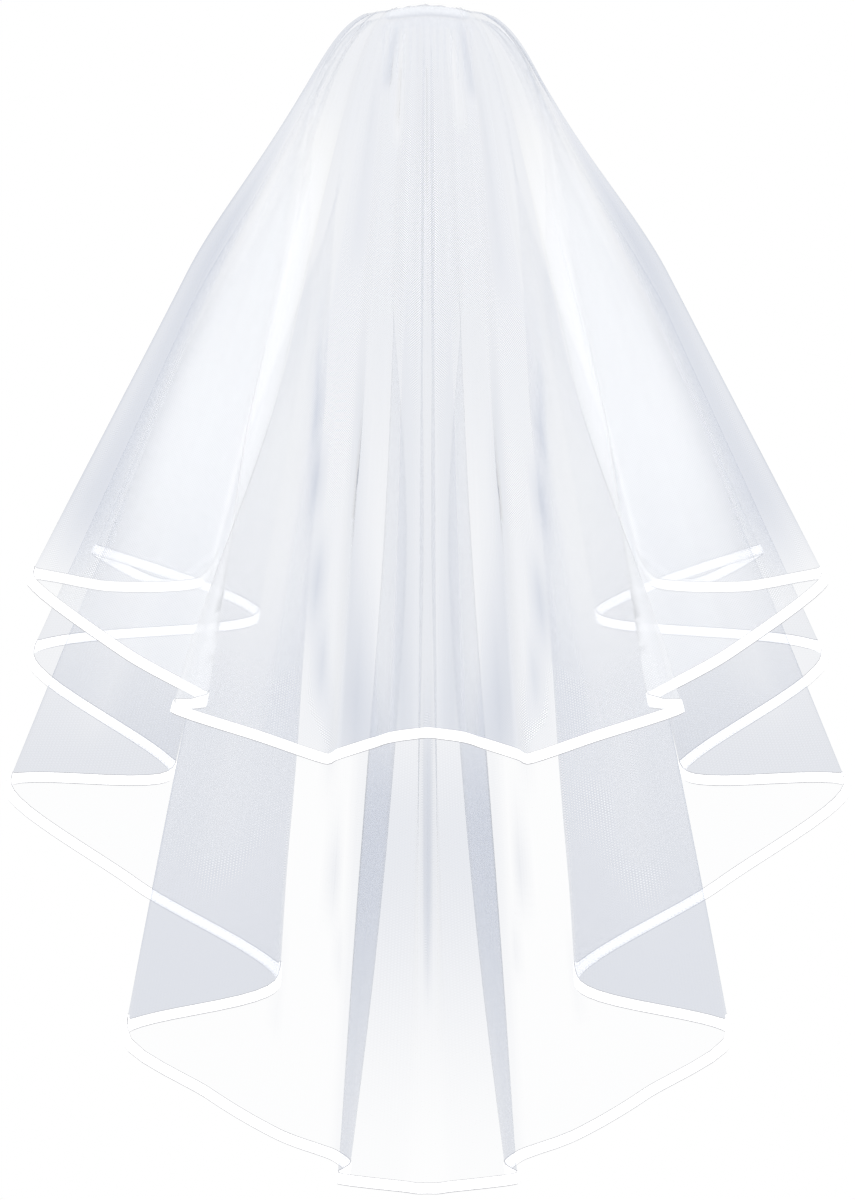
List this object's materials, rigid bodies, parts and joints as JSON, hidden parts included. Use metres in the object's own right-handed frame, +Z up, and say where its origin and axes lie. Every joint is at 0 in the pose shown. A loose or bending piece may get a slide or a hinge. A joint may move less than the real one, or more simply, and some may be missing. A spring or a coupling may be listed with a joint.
{
  "type": "two-tier bridal veil on a comb",
  "caption": "Two-tier bridal veil of sheer net with satin ribbon edges, gathered on a hair comb and hanging in folds round the back and sides.",
  "frame": {"origin": "middle of the comb's bar at the crown, where the hair holds the veil", "axes": "+Z up, -Y towards the back of the veil, +Y towards the wearer's face, X across the head"},
  "size_m": [0.5684, 0.2965, 0.7852],
  "materials": {
    "upper_net": "sheer white tulle",
    "lower_net": "sheer white tulle",
    "satin": "white satin ribbon",
    "band": "white ribbon wound over the gathers",
    "comb": "clear white plastic"
  },
  "bodies": {
    "root": {"upper_tier": "upper_net", "lower_tier": "lower_net", "upper_ribbon": "satin", "lower_ribbon": "satin", "gather_band": "band", "comb": "comb"}
  },
  "joints": []
}
